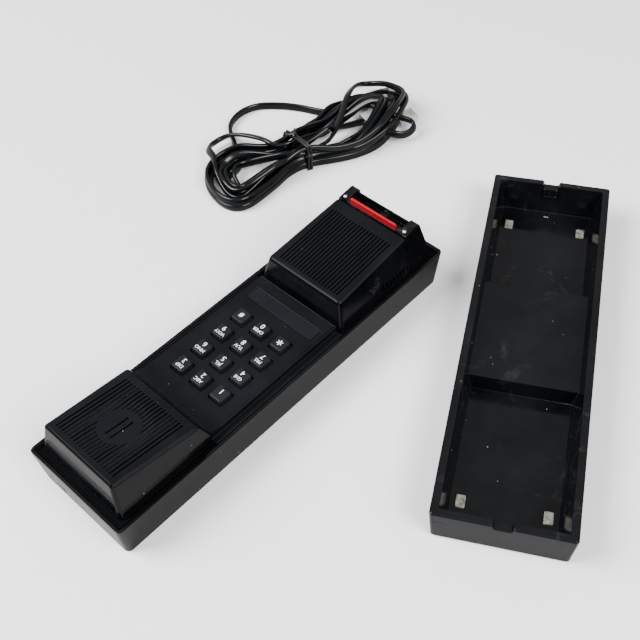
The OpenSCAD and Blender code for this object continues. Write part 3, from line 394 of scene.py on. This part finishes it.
def layRoute():
    turns = [turnRoute(*sizes) for sizes in hank["turns"]]
    first = insetLine(hank["near"], 11, 6, 4)
    uv = [(56, -12), (46, -13), (32, -11), (17, -6), (0, -1.5), (-14, -4)] + first[2:9]
    uv += [(-49, 9), (-40, 9.5)]
    start, end = (*hank["plugA"][:2], hank["plugHigh"]), (*hank["plugB"][:2], hank["plugHigh"])
    route = [start, (-105.2, 170.1, hank["plugHigh"])] + [hankPoint(*p) for p in uv] + hank["longLoop"]
    uv = [(46, 15), (56, 14.5), (67, 14)] + turns[0][0][7:] + turns[0][1] + turns[0][2] + turns[0][3]
    uv += turns[1][0][:4] + hank["stub"] + turns[1][0][12:] + turns[1][1] + turns[1][2] + turns[1][3]
    for turn in turns[2:4]:
        uv += turn[0] + turn[1] + turn[2] + turn[3]
    uv += turns[4][0] + turns[4][1] + turns[4][2][:8] + [(-52, 15)]
    route += [hankPoint(*p) for p in uv] + hank["shortLoop"]
    uv = [(0, 4.6)] + turns[5][0] + turns[5][1] + turns[5][2][:11] + hank["apex"]
    uv += turns[6][0][10:] + turns[6][1]
    uv += turns[6][2][:11] + [(-14, 5), (0, 2), (14, 0.5), (28, 0.5), (40, 0), (47, -0.1)]
    route += [hankPoint(*p) for p in uv] + [end]
    return [Vector(p) for p in route]


def smoothRoute(points, step):
    # Catmull-Rom through the points, then even steps
    fine = []
    for i in range(len(points) - 1):
        p0, p1, p2, p3 = points[max(i - 1, 0)], points[i], points[i + 1], points[min(i + 2, len(points) - 1)]
        m1, m2 = (p2 - p0) / 2, (p3 - p1) / 2
        for k in range(12):
            t = k / 12
            spot = p1 * (2 * t**3 - 3 * t**2 + 1) + m1 * (t**3 - 2 * t**2 + t)
            fine.append(spot + p2 * (3 * t**2 - 2 * t**3) + m2 * (t**3 - t**2))
    fine.append(points[-1])
    even, walked, target = [fine[0].copy()], 0.0, step
    for a, b in zip(fine, fine[1:]):
        gap = (b - a).length
        while gap > 0 and walked + gap >= target:
            even.append(a.lerp(b, (target - walked) / gap))
            target += step
        walked += gap
    even.append(fine[-1])
    return even


def insidePlug(x, y, plug, margin):
    px, py, turn = plug
    c, s = math.cos(math.radians(turn)), math.sin(math.radians(turn))
    a, b = (x - px) * c + (y - py) * s, (y - py) * c - (x - px) * s
    return -0.3 < a < hank["plugSize"][0] + margin and abs(b) < hank["plugSize"][1] / 2 + margin


def relax(values, rounds):
    # each value, a point or a height, moves towards its neighbours
    for _ in range(rounds):
        inner = [(a + b * 2 + c) / 4 for a, b, c in zip(values, values[1:], values[2:])]
        values = [values[0]] + inner + [values[-1]]
    return values


def settle(route):
    # each strand comes to rest on the table or on what was laid before it
    low, high = hank["width"] / 2 + 0.25, hank["layer"]
    drop = hank["slope"] * hank["step"]
    cell, cells = hank["cell"], {}
    heights = [0.0] * len(route)
    for i, p in enumerate(route):
        z = max(low, p.z)
        if 3 < i < len(route) - 4:
            for plug in (hank["plugA"], hank["plugB"]):
                if insidePlug(p.x, p.y, plug, 1.2):
                    z = max(z, hank["plugSize"][2] + low)
        for cx in range(-1, 2):
            for cy in range(-1, 2):
                for j in cells.get((int(p.x // cell) + cx, int(p.y // cell) + cy), ()):
                    if i - j > 7 and (route[j].xy - p.xy).length < hank["crossing"]:
                        z = max(z, heights[j] + high)
        heights[i] = max(z, heights[i - 1] - drop if i else z)
        k = i - 1
        while k >= 0 and heights[k] < heights[k + 1] - drop:
            heights[k] = heights[k + 1] - drop
            k -= 1
        cells.setdefault((int(p.x // cell), int(p.y // cell)), []).append(i)
    heights = relax(heights, 6)
    # an end at a plug comes back down to the plug's middle
    for i in range(14):
        for k in (i, len(route) - 1 - i):
            heights[k] = min(heights[k], hank["plugHigh"] + hank["climb"] * i)
    return [Vector((p.x, p.y, z)) for p, z in zip(route, heights)]


def sweep(name, points, section, tilt=None, closed=False):
    # section is a list of (across, up) in mm, points are in mm in the tray's frame
    verts, faces, n, m = [], [], len(points), len(section)
    for i, p in enumerate(points):
        before = points[i - 1] if closed or i else p
        after = points[(i + 1) % n] if closed or i < n - 1 else p
        ahead = (after - before).normalized()
        side = ahead.cross(Vector((0, 0, 1)))
        side = side.normalized() if side.length > 0.05 else Vector((hankSin, -hankCos, 0))
        up = side.cross(ahead)
        c, s = math.cos(tilt[i]) if tilt else 1, math.sin(tilt[i]) if tilt else 0
        for across, high in section:
            spot = p + side * (across * c - high * s) + up * (across * s + high * c)
            verts.append(trayMatrix @ (spot * mm))
    for i in range(n if closed else n - 1):
        for k in range(m):
            a, b = i * m, (i + 1) % n * m
            faces.append((a + k, a + (k + 1) % m, b + (k + 1) % m, b + k))
    if not closed:
        faces += [tuple(reversed(range(m))), tuple(range((n - 1) * m, n * m))]
    mesh = bpy.data.meshes.new(name)
    mesh.from_pydata(verts, [], faces)
    piece = bpy.data.objects.new(name, mesh)
    bpy.context.scene.collection.objects.link(piece)
    makeActive(piece)
    bpy.ops.object.mode_set(mode="EDIT")
    bpy.ops.mesh.select_all(action="SELECT")
    bpy.ops.mesh.normals_make_consistent(inside=False)
    bpy.ops.object.mode_set(mode="OBJECT")
    bpy.ops.object.shade_smooth_by_angle(angle=math.radians(50))
    return piece


def finishPiece(piece, body, slotName, *nodes):
    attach(piece, body)
    if nodes:
        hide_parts(*nodes)
    return piece


cordRoute = settle(relax(smoothRoute(layRoute(), hank["step"]), 8))
cordLength = sum((b - a).length for a, b in zip(cordRoute, cordRoute[1:])) * mm
print("cord length", round(cordLength, 3), "highest", round(max(p.z for p in cordRoute), 1))
flatSection = [(1.2, -1.5), (1.2, 1.5), (0.95, 2.1), (0.45, 2.4), (-0.45, 2.4), (-0.95, 2.1),
               (-1.2, 1.5), (-1.2, -1.5), (-0.95, -2.1), (-0.45, -2.4), (0.45, -2.4), (0.95, -2.1)]
# strands on the table stand on edge, and those above lean over, in radians
leanLook = {"waver": 0.14, "from": 4, "over": 5, "swing": 0.75, "flutter": 0.35}
cordTilt = []
for i, spot in enumerate(cordRoute):
    free = min(1, max(0, (spot.z - leanLook["from"]) / leanLook["over"]))
    lean = leanLook["swing"] * math.sin(i / 31) + leanLook["flutter"] * math.sin(i / 13 + 1)
    cordTilt.append(leanLook["waver"] * math.sin(i / 17) + free * lean)
lineCord = sweep("lineCord", cordRoute, flatSection, tilt=cordTilt)
lineCord.data.materials.append(materials["cordVinyl"])
finishPiece(lineCord, "line_cord", "cord_black", "cord_hank", "cord_long_loop", "cord_short_loop")
print("cord laid")

# the tie goes twice round the strands at the waist
tie = {"wire": 0.75, "gap": 1.7, "hold": 2.5, "halfWidth": 15, "steps": 40,
       "tails": [(4.2, 7.5), (-3.6, 6.0)]}


def tieLoop(shift):
    spots, steps = [], tie["steps"]
    for p in cordRoute:
        u, v = alongHank(p.x, p.y)
        if abs(u - shift) < tie["hold"] and abs(v) < tie["halfWidth"]:
            spots += [(v + a, p.z + b) for a in (-1.4, 1.4) for b in (-2.5, 2.5)]
    middle = (sum(s[0] for s in spots) / len(spots), sum(s[1] for s in spots) / len(spots))
    loop = []
    for k in range(steps):
        a = 2 * math.pi * k / steps
        reach = max((s[0] - middle[0]) * math.cos(a) + (s[1] - middle[1]) * math.sin(a) for s in spots)
        loop.append((middle[0], middle[1], a, reach + tie["wire"]))
    outline = []
    for k, (cv, cz, a, reach) in enumerate(loop):  # corners where neighbouring support lines meet
        nextA, nextReach = loop[(k + 1) % steps][2:]
        det = math.sin(nextA - a)
        v = (reach * math.sin(nextA) - nextReach * math.sin(a)) / det
        z = (nextReach * math.cos(a) - reach * math.cos(nextA)) / det
        outline.append(Vector(hankPoint(shift + 0.3 * math.sin(3 * a), cv + v, max(cz + z, tie["wire"]))))
    return outline


wireAngles = [k * math.pi / 4 for k in range(8)]
wireSection = [(tie["wire"] * math.cos(a), tie["wire"] * math.sin(a)) for a in wireAngles]
firstLoop, secondLoop = tieLoop(-tie["gap"] / 2), tieLoop(tie["gap"] / 2)
knotPlace = [p.z + 0.3 * alongHank(p.x, p.y)[1] for p in firstLoop]  # the knot lies high and to the left
topIndex = knotPlace.index(max(knotPlace))
tiePieces = [sweep("tieLoopNear", firstLoop, wireSection, closed=True),
             sweep("tieLoopFar", secondLoop, wireSection, closed=True)]
knot = firstLoop[topIndex].lerp(secondLoop[topIndex], 0.5)
knotU, knotV = alongHank(knot.x, knot.y)
for number, (du, dv) in enumerate(tie["tails"]):
    tail = []
    for k in range(15):
        t = k / 14
        wind = 0.7 * (1 - t) * math.cos(t * 9 + number * math.pi)
        height = knot.z + 1.1 + 0.8 * math.sin(t * 2.6) + wind * 0.5 - 2.2 * t
        tail.append(Vector(hankPoint(knotU + du * t + wind, knotV - 1 + dv * t, height)))
    tiePieces.append(sweep("tieTail" + "AB"[number], tail, wireSection))
for number, piece in enumerate(tiePieces):
    piece.data.materials.append(materials["tieBlack"])
    finishPiece(piece, "line_cord", "tie_black", *(["cord_tie"] if number == 0 else []))
print("tie wound")

# modular plugs: the cord comes in at x 0, latch below, contacts above, in mm
plugLook = {"length": 12.3, "width": 9.65, "top": 6.6, "foot": 1.5, "latchWidth": 3.3, "latchTop": 1.0,
            "contact": (3.2, 0.35, 2.2), "pitch": 1.27, "setback": 0.6}


def cubeAt(name, low, high):
    deselectAll()
    middle = [(a + b) / 2 * mm for a, b in zip(low, high)]
    bpy.ops.mesh.primitive_cube_add(size=1, location=(0, 0, 0))
    piece = bpy.context.object
    piece.name = name
    piece.data.name = name
    size = [(b - a) * mm for a, b in zip(low, high)]
    piece.data.transform(Matrix.Translation(middle) @ Matrix.Diagonal(size + [1]))
    return piece


def applyBevel(piece, width, segments, angle=35, weights=False):
    makeActive(piece)
    bevel = piece.modifiers.new("edges", "BEVEL")
    bevel.width = width * mm
    bevel.segments = segments
    bevel.limit_method = "WEIGHT" if weights else "ANGLE"
    bevel.angle_limit = math.radians(angle)
    bevel.use_clamp_overlap = False
    bevel.miter_outer = "MITER_ARC" if weights else "MITER_SHARP"
    bpy.ops.object.modifier_apply(modifier="edges")


largeFace = 1.5e-5  # square metres


def smoothShading(piece, angle):
    # large faces keep their own normals and only the rounded edges turn
    makeActive(piece)
    bpy.ops.object.shade_smooth_by_angle(angle=math.radians(angle))
    for face in piece.data.polygons:
        if face.area > largeFace:
            face.use_smooth = False
    weights = piece.modifiers.new("weights", "WEIGHTED_NORMAL")
    weights.mode = "FACE_AREA"
    weights.weight = 100
    weights.keep_sharp = True
    bpy.ops.object.modifier_apply(modifier="weights")


def insetFace(piece, test, thickness, depth):
    makeActive(piece)
    for part in (piece.data.vertices, piece.data.edges, piece.data.polygons):
        part.foreach_set("select", [False] * len(part))
    for face in piece.data.polygons:
        face.select = test(face)
    bpy.ops.object.mode_set(mode="EDIT")
    bpy.ops.mesh.select_mode(type="FACE")
    bpy.ops.mesh.inset(thickness=thickness * mm, depth=depth * mm)
    bpy.ops.object.mode_set(mode="OBJECT")


def makePlug(name, plug, node):
    size = plugLook
    half = size["width"] / 2
    body = cubeAt(name, (0, -half, size["foot"]), (size["length"], half, size["top"]))
    insetFace(body, lambda face: face.normal.x < -0.9, 0.9, -1.6)  # the cord's mouth
    insetFace(body, lambda face: face.normal.z > 0.9, 1.1, -0.35)
    applyBevel(body, 0.3, 2)
    noseX = size["length"] - size["setback"]
    latchHalf = size["latchWidth"] / 2
    latch = cubeAt(name + "Latch", (1.2, -latchHalf, 0.1), (noseX, latchHalf, size["latchTop"]))
    insetFace(latch, lambda face: face.normal.x > 0.9, 0.15, 0.4)
    applyBevel(latch, 0.2, 2)
    contacts = []
    for i in range(4):
        y = (i - 1.5) * size["pitch"]
        long, thick, tall = size["contact"]
        blade = cubeAt(name + "Contact" + "ABCD"[i], (noseX - long, y - thick / 2, size["top"] - tall),
                       (noseX, y + thick / 2, size["top"] - 0.1))
        insetFace(blade, lambda face: face.normal.z > 0.9, 0.08, 0.05)
        contacts.append(blade)
    px, py, turn = plug
    place = trayMatrix @ Matrix.Translation((px * mm, py * mm, 0))
    place = place @ Matrix.Rotation(math.radians(turn), 4, "Z")
    for piece in [body, latch] + contacts:
        gold = piece in contacts
        piece.data.transform(place)
        piece.data.materials.append(materials["contactGold" if gold else "plugClear"])
        smoothShading(piece, 40)
        nodes = [node] if piece is body else []
        finishPiece(piece, "line_cord", "contact_gold" if gold else "plug_clear", *nodes)
    return [body, latch] + contacts


plugPieces = makePlug("plugNear", hank["plugA"], "plug_a") + makePlug("plugHidden", hank["plugB"], "plug_b")
print("plugs made")


def nodeCopy(node, name):
    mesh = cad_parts[node].data.copy()
    mesh.name = name
    mesh.materials.clear()
    piece = bpy.data.objects.new(name, mesh)
    bpy.context.scene.collection.objects.link(piece)
    makeActive(piece)
    bpy.ops.object.mode_set(mode="EDIT")
    bpy.ops.mesh.select_all(action="SELECT")
    bpy.ops.mesh.remove_doubles(threshold=0.00001)
    bpy.ops.mesh.customdata_custom_splitnormals_clear()
    bpy.ops.mesh.dissolve_limited(angle_limit=math.radians(0.6))
    bpy.ops.object.mode_set(mode="OBJECT")
    return piece


# the blocks' long outer edges: heights in mm, area in square metres, angle in degrees
blockLook = {"above": 24.5, "upright": 8, "bigFace": 6e-5, "angle": 35, "steps": 4}


def weighBlockEdges(piece, look):
    # an outer edge has a big steep face on one side
    mesh = piece.data
    mesh.update()
    faces = {}
    for face in mesh.polygons:
        normal = handInverse.to_3x3() @ face.normal
        for key in face.edge_keys:
            faces.setdefault(key, []).append((face, normal))
    weight = mesh.attributes.new("bevel_weight_edge", "FLOAT", "EDGE")
    for edge in mesh.edges:
        sides = faces.get(edge.key, [])
        if len(sides) != 2:
            continue
        ends = [handInverse @ mesh.vertices[v].co / mm for v in edge.vertices]
        low, tall = min(e.z for e in ends), abs(ends[0].z - ends[1].z)
        shallow = sides[0][1].angle(sides[1][1]) < math.radians(look["angle"])
        if shallow or low < look["above"] and tall <= look["upright"]:
            continue
        across = sides[1][0].center - sides[0][0].center
        convex = across.dot(handMatrix.to_3x3() @ sides[0][1]) < 0
        outward = False
        for face, normal in sides:
            if face.area > look["bigFace"] and abs(normal.z) < 0.5:
                away = (handInverse @ face.center).xy.dot(normal.xy) > 0
                outward = outward or away or abs(normal.y) > 0.7
        if convex and outward:
            weight.data[edge.index].value = 1.0


shellLook = {
    # node: piece name, body, slot, finish, edge radius, edge steps, radius of the block's long edges
    "ear_cover": ("earPiece", "handset", "casing_black", "casingGloss", 0.12, 1, 1.7),
    "mouth_cover": ("mouthPiece", "handset", "casing_black", "casingGloss", 0.12, 1, 1.7),
    "end_cap": ("hookCap", "handset", "casing_black", "casingGloss", 0.25, 2, 0),
    "back_shell": ("handsetShell", "handset", "casing_black", "casingGloss", 0.35, 2, 0),
    "keypad_panel": ("keypadPanel", "handset", "panel_grey", "panelGrain", 0.45, 3, 0),
    "label_strip": ("labelStrip", "handset", "label_grey", "labelGrey", 0.12, 2, 0),
    "hook_bar": ("hookBar", "hook_bar", "hook_red", "hookRed", 0.2, 2, 0),
    "base_tray": ("cradleTray", "base_tray", "tray_black", "trayGloss", 0.3, 2, 0),
    "wall_hook": ("wallHook", "base_tray", "tray_black", "trayGloss", 0.25, 2, 0),
    "foot_front_left": ("footFrontLeft", "base_tray", "foot_clear", "footSoft", 0.35, 3, 0),
    "foot_front_right": ("footFrontRight", "base_tray", "foot_clear", "footSoft", 0.35, 3, 0),
    "foot_rear_left": ("footRearLeft", "base_tray", "foot_clear", "footSoft", 0.35, 3, 0),
    "foot_rear_right": ("footRearRight", "base_tray", "foot_clear", "footSoft", 0.35, 3, 0),
}
for key in ("1", "2", "3", "4", "5", "6", "7", "8", "9", "star", "0", "hash"):
    shellLook["key_" + key] = ("keyCap" + key.capitalize(), "key_" + key, "key_grey", "keyGrey", 0.5, 3, 0)
shells = {}
for node, (name, body, slotName, paint, radius, steps, blockRadius) in shellLook.items():
    piece = nodeCopy(node, name)
    if blockRadius:
        weighBlockEdges(piece, blockLook)
        applyBevel(piece, blockRadius, blockLook["steps"], weights=True)
    applyBevel(piece, radius, steps)
    piece.data.materials.append(materials[paint])
    smoothShading(piece, 40)
    finishPiece(piece, body, slotName, node)
    shells[node] = piece

# painted shade: the trough between the rim and the blocks gets a darker, dull black, where shade falls
troughLook = {"halfWidth": 31.6, "halfLength": 112.4, "low": 14, "high": 24.2, "largest": 4e-4}
for node in ("back_shell", "ear_cover", "mouth_cover", "end_cap"):
    piece = shells[node]
    piece.data.materials.append(materials["paintedGrooveShade"])
    for face in piece.data.polygons:
        middle = handInverse @ face.center / mm
        inside = abs(middle.x) < troughLook["halfWidth"] and abs(middle.y) < troughLook["halfLength"]
        deep = troughLook["low"] < middle.z < troughLook["high"]
        if inside and deep and face.area < troughLook["largest"]:
            face.material_index = 1
print("shells ready:", len(shells))

# the ribbed tops are matt, and the grooves between the ribs and the dish's floor get painted shade, darker
# than the crests
# start and end are (y, z) of the sloping top along the handset, in mm
topLook = {
    "ear_cover": {"start": (-105.6, 43.6), "end": (-57.2, 36.9), "halfWidth": 22.5, "ends": (-104.6, -58.0),
                  "dish": (-81.9, 15.8, 1.75)},  # middle, radius, depth
    "mouth_cover": {"start": (39.5, 38.0), "end": (92.9, 43.5), "halfWidth": 22.5, "ends": (40.6, 93.5)},
}
for node, look in topLook.items():
    piece = shells[node]
    piece.data.materials.append(materials["topMatt"])
    (y0, z0), (y1, z1) = look["start"], look["end"]
    dishY, dishRadius, dishDepth = look.get("dish", (0, 0, 0))
    for face in piece.data.polygons:
        middle = handInverse @ face.center / mm
        top = z0 + (z1 - z0) * (middle.y - y0) / (y1 - y0)
        facing = (handInverse.to_3x3() @ face.normal).z
        onTop = abs(middle.x) < look["halfWidth"] and look["ends"][0] < middle.y < look["ends"][1]
        if middle.z > top - 2.6 and (facing > 0.3 or onTop):
            groove = dishDepth if math.hypot(middle.x, middle.y - dishY) < dishRadius else 0.3
            # faces below the crests take the painted groove shade
            face.material_index = 1 if middle.z < top - groove and abs(middle.x) < 24 else 2

# printed characters: capital heights, and places from a key's middle towards the hook bar, in mm
legendLook = {"digit": 3.0, "letters": 2.0, "star": 5.6, "rise": 0.009, "signBold": 0.04,
              "digitAt": 1.75, "lettersAt": -1.65, "oneAt": 1.0}
legends = {"key_1": ("1", ""), "key_2": ("2", "ABC"), "key_3": ("3", "DEF"), "key_4": ("4", "GHI"),
           "key_5": ("5", "JKL"), "key_6": ("6", "MNO"), "key_7": ("7", "PRS"), "key_8": ("8", "TUV"),
           "key_9": ("9", "WXY"), "key_star": ("*", ""), "key_0": ("0", "OPER"), "key_hash": ("#", "")}


def makeText(name, words, size, middle, bold):
    deselectAll()
    bpy.ops.object.text_add(location=(0, 0, 0))
    piece = bpy.context.object
    piece.name = name
    piece.data.body = words
    piece.data.size = size * mm * 1.36  # capital height to font size
    piece.data.offset = bold * mm
    piece.data.extrude = 0.01 * mm
    piece.data.resolution_u = 4
    bpy.ops.object.convert(target="MESH")
    piece = bpy.context.object
    low = [min(v.co[i] for v in piece.data.vertices) for i in range(2)]
    high = [max(v.co[i] for v in piece.data.vertices) for i in range(2)]
    centre = Matrix.Translation((-(low[0] + high[0]) / 2, -(low[1] + high[1]) / 2, 0))
    upright = Matrix.Rotation(math.radians(layout["turn"] + 180), 4, "Z")
    piece.data.transform(Matrix.Translation(middle) @ upright @ centre)
    piece.data.materials.append(materials["keyPrint"])
    return piece


for node, (digit, letters) in legends.items():
    low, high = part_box(node)
    inHand = handInverse @ ((Vector(low) + Vector(high)) / 2) / mm
    top = high[2] + legendLook["rise"] * mm
    name = shellLook[node][0] + "Print"
    if letters:
        rows = [(name, digit, legendLook["digit"], legendLook["digitAt"], 0),
                (name + "Letters", letters, legendLook["letters"], legendLook["lettersAt"], 0)]
    else:
        size = legendLook["star" if digit == "*" else "digit"]
        rows = [(name, digit, size, legendLook["oneAt"] if digit == "1" else 0, legendLook["signBold"])]
    for rowName, words, size, away, bold in rows:
        spot = Vector((*handPlace(inHand.x, inHand.y + away, 0).xy, top))
        finishPiece(makeText(rowName, words, size, spot, bold), node, "key_grey")
print("characters printed")

# the pieces that stay as the frame has them
plainNodes = {
    "ballast_weight": "ironPlain", "ballast_cover": "trayGloss", "cover_screws": "screwZinc",
    "shell_screws": "screwZinc", "stud_left": "studSteel", "stud_right": "studSteel",
    "hook_switch": "partBlack", "receiver_capsule": "canAluminium", "receiver_gasket": "gasketBlack",
    "microphone": "canAluminium", "microphone_boot": "gasketBlack", "ringer": "partBlack",
    "keypad_mat": "matGrey", "keypad_board": "boardGreen", "main_board": "boardGreen",
    "line_jack": "partBlack", "jack_contacts": "contactGold",
}
for node, paint in plainNodes.items():
    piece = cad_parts[node]
    for slotHolder in piece.material_slots:
        slotHolder.material = materials[paint]
print("frame pieces finished")

# the hook bar's spring stands on the end cap's shelf; the copy keeps its own mesh but is not made to shorten
# as the bar goes down
spring = nodeCopy("hook_spring", "hookSpring")
spring.data.materials.append(materials["screwZinc"])
smoothShading(spring, 40)
finishPiece(spring, "handset", "steel", "hook_spring")
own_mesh(spring)
print("spring ready")
